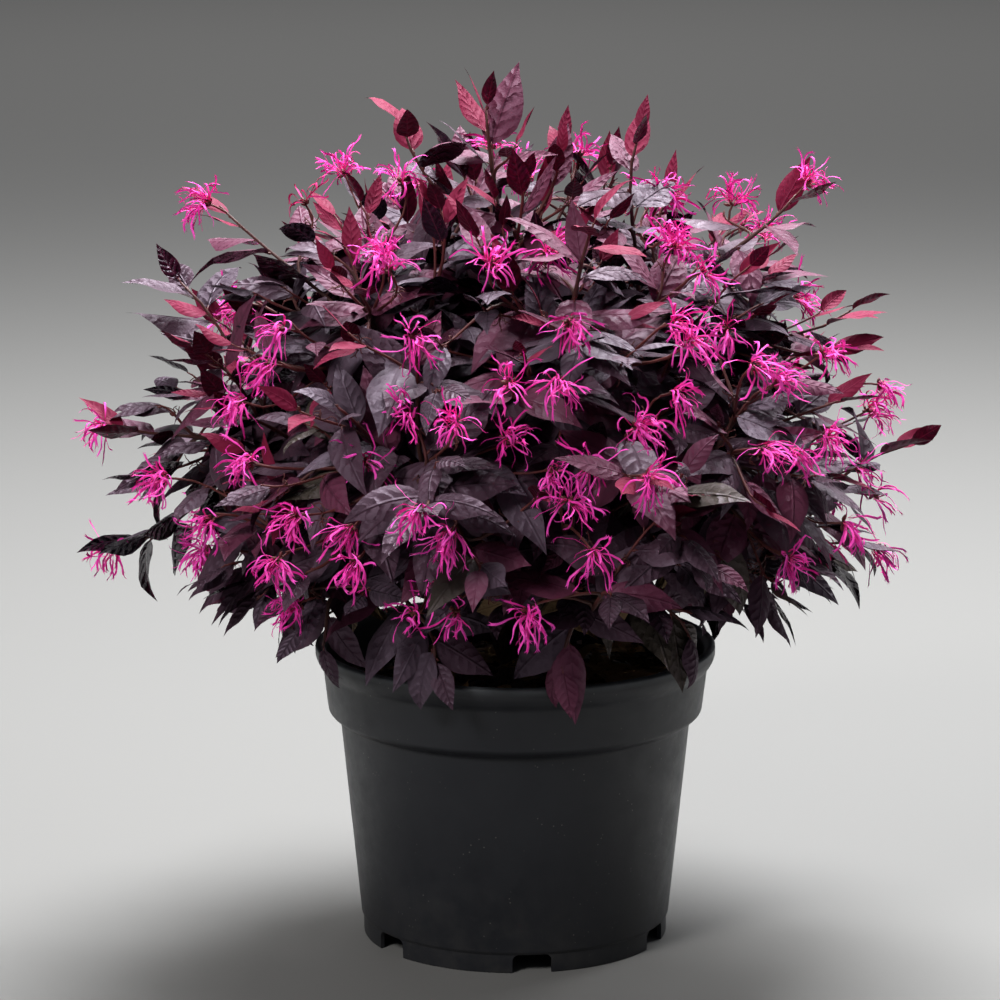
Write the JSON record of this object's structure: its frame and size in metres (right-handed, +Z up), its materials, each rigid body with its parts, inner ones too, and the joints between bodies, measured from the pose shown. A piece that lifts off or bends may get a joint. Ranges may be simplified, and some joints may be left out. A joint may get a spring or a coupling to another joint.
{
  "type": "chinese fringe flower shrub",
  "caption": "Round, dense evergreen shrub with dark purple leaves and magenta strap-petalled blossom, in a black plastic nursery pot with notched foot; stands on the pot's flat foot ring.",
  "frame": {"origin": "middle of the pot's underside, on the level surface that the pot stands on, which is the middle of the whole object's box in plan within about 3 mm", "axes": "+Z up; -Y is the side of the plant shown in the picture; +X is to the right in the picture"},
  "size_m": [0.6049, 0.5938, 0.6124],
  "materials": {
    "pot_black": "black moulded polyethylene, matte, a little dusty",
    "soil_brown": "moist composted-bark potting mix",
    "bark_brown": "grey-brown bark, finely fissured, matte",
    "leaf_aubergine": "dark purple leaves with a soft satin sheen",
    "twig_red_brown": "young red-brown twigs, slightly rough",
    "blossom_pink": "thin magenta strap petals, matte"
  },
  "bodies": {
    "root": {"pot": "pot_black", "potting_soil": "soil_brown", "main_stem": "bark_brown", "leader_bough": "bark_brown", "main_bough_1": "bark_brown", "low_bough_1": "bark_brown", "side_bough_1": "bark_brown", "main_bough_2": "bark_brown", "low_bough_2": "bark_brown", "side_bough_2": "bark_brown", "main_bough_3": "bark_brown", "low_bough_3": "bark_brown", "side_bough_3": "bark_brown", "main_bough_4": "bark_brown", "low_bough_4": "bark_brown", "side_bough_4": "bark_brown", "main_bough_5": "bark_brown", "low_bough_5": "bark_brown", "side_bough_5": "bark_brown", "foliage_top": "leaf_aubergine", "foliage_upper_1": "leaf_aubergine", "foliage_side_1": "leaf_aubergine", "foliage_low_1": "leaf_aubergine", "foliage_upper_2": "leaf_aubergine", "foliage_side_2": "leaf_aubergine", "foliage_low_2": "leaf_aubergine", "foliage_upper_3": "leaf_aubergine", "foliage_side_3": "leaf_aubergine", "foliage_low_3": "leaf_aubergine", "foliage_upper_4": "leaf_aubergine", "foliage_side_4": "leaf_aubergine", "foliage_low_4": "leaf_aubergine", "foliage_upper_5": "leaf_aubergine", "foliage_side_5": "leaf_aubergine", "foliage_low_5": "leaf_aubergine"}
  },
  "joints": []
}
